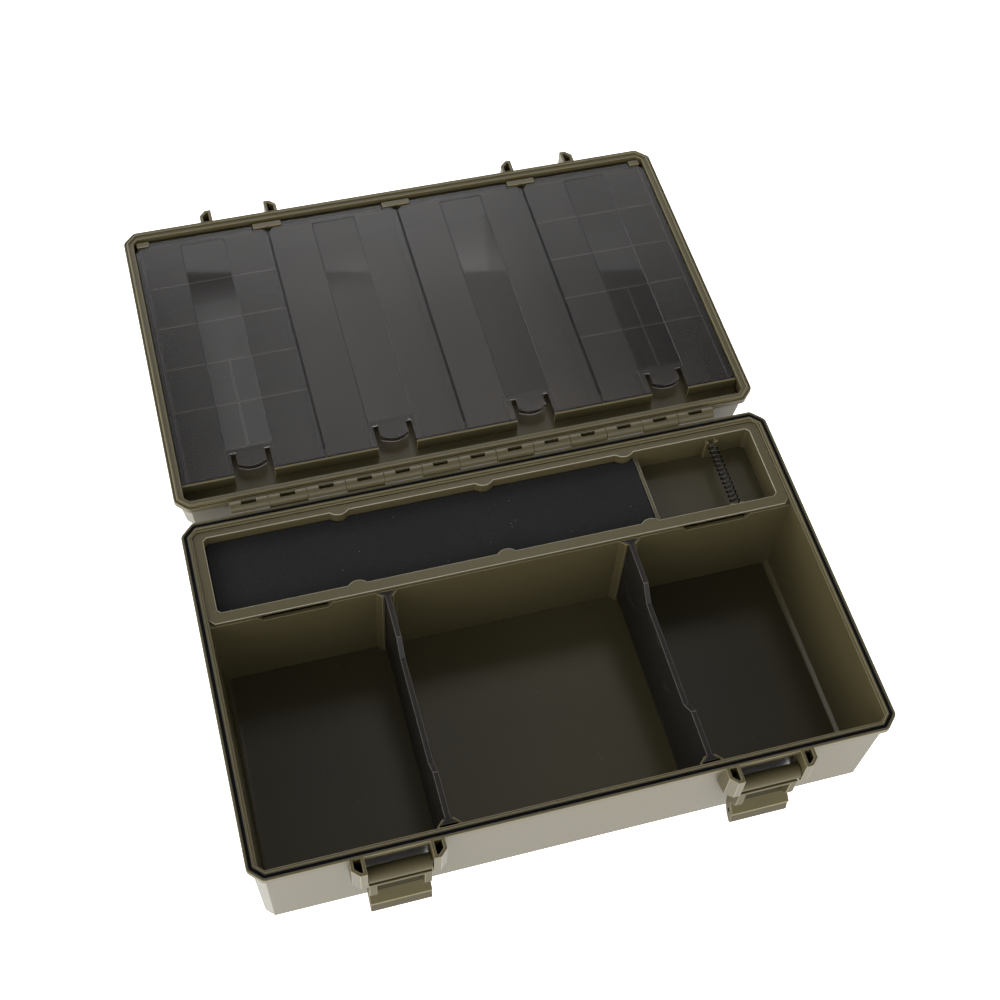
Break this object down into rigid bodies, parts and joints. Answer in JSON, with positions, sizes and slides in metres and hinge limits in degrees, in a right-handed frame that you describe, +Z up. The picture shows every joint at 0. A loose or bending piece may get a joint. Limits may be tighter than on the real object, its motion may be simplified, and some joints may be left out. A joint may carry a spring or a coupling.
{
  "type": "tackle box",
  "caption": "Hinged plastic tackle box with front latches, divided base, lift-out rig tray with foam and spring, and a lid of small rooms under smoked covers.",
  "frame": {"origin": "centre of the flat underside of the base", "axes": "+X along the box's width, +Y towards the hinge and the open lid, +Z up"},
  "size_m": [0.36, 0.4704, 0.0758],
  "materials": {
    "olive_plastic": "fine satin moulded polypropylene, olive brown",
    "smoked_plastic": "smoked transparent, glossy",
    "seal_rubber": "soft black seal",
    "black_plastic": "satin black",
    "foam": "matt closed-cell foam, near black",
    "black_steel": "blackened spring wire",
    "steel": "plain drawn pin"
  },
  "bodies": {
    "base": {"base_shell": "olive_plastic", "base_seal": "seal_rubber", "hinge_pin": "steel", "latch_pin_left": "steel", "latch_pin_right": "steel"},
    "lid": {"lid_shell": "olive_plastic", "lid_insert": "olive_plastic", "finger_shelf": "olive_plastic", "cell_grid_left": "olive_plastic", "cell_grid_right": "olive_plastic"},
    "cover_1": {"cover_1": "smoked_plastic"},
    "cover_2": {"cover_2": "smoked_plastic"},
    "cover_3": {"cover_3": "smoked_plastic"},
    "cover_4": {"cover_4": "smoked_plastic"},
    "latch_left": {"latch_left": "olive_plastic"},
    "latch_right": {"latch_right": "olive_plastic"},
    "tray": {"rig_tray": "olive_plastic", "rig_spring": "black_steel"},
    "foam": {"foam_board": "foam"},
    "divider_left": {"divider_left": "black_plastic"},
    "divider_right": {"divider_right": "black_plastic"}
  },
  "joints": [
    {"name": "lid_hinge", "type": "hinge", "parent": "base", "child": "lid", "pos_m": [0, 0.115, 0.0722], "axis": [-1, 0, 0], "range_deg": [-180, 0]},
    {"name": "latch_left_pivot", "type": "hinge", "parent": "base", "child": "latch_left", "pos_m": [-0.103, -0.1154, 0.0585], "axis": [1, 0, 0], "range_deg": [-180, 0]},
    {"name": "latch_right_pivot", "type": "hinge", "parent": "base", "child": "latch_right", "pos_m": [0.103, -0.1154, 0.0585], "axis": [1, 0, 0], "range_deg": [-180, 0]},
    {"name": "cover_1_hinge", "type": "hinge", "parent": "lid", "child": "cover_1", "pos_m": [-0.1305, 0.3305, 0.0681], "axis": [-1, 0, 0], "range_deg": [0, 100]},
    {"name": "cover_2_hinge", "type": "hinge", "parent": "lid", "child": "cover_2", "pos_m": [-0.0435, 0.3305, 0.0681], "axis": [-1, 0, 0], "range_deg": [0, 100]},
    {"name": "cover_3_hinge", "type": "hinge", "parent": "lid", "child": "cover_3", "pos_m": [0.0435, 0.3305, 0.0681], "axis": [-1, 0, 0], "range_deg": [0, 100]},
    {"name": "cover_4_hinge", "type": "hinge", "parent": "lid", "child": "cover_4", "pos_m": [0.1305, 0.3305, 0.0681], "axis": [-1, 0, 0], "range_deg": [0, 100]},
    {"name": "tray_lift", "type": "slide", "parent": "base", "child": "tray", "axis": [0, 0, 1], "range_m": [0, 0.05]},
    {"name": "foam_lift", "type": "slide", "parent": "tray", "child": "foam", "axis": [0, 0, 1], "range_m": [0, 0.03]},
    {"name": "divider_left_lift", "type": "slide", "parent": "base", "child": "divider_left", "axis": [0, 0, 1], "range_m": [0, 0.08]},
    {"name": "divider_right_lift", "type": "slide", "parent": "base", "child": "divider_right", "axis": [0, 0, 1], "range_m": [0, 0.08]}
  ]
}
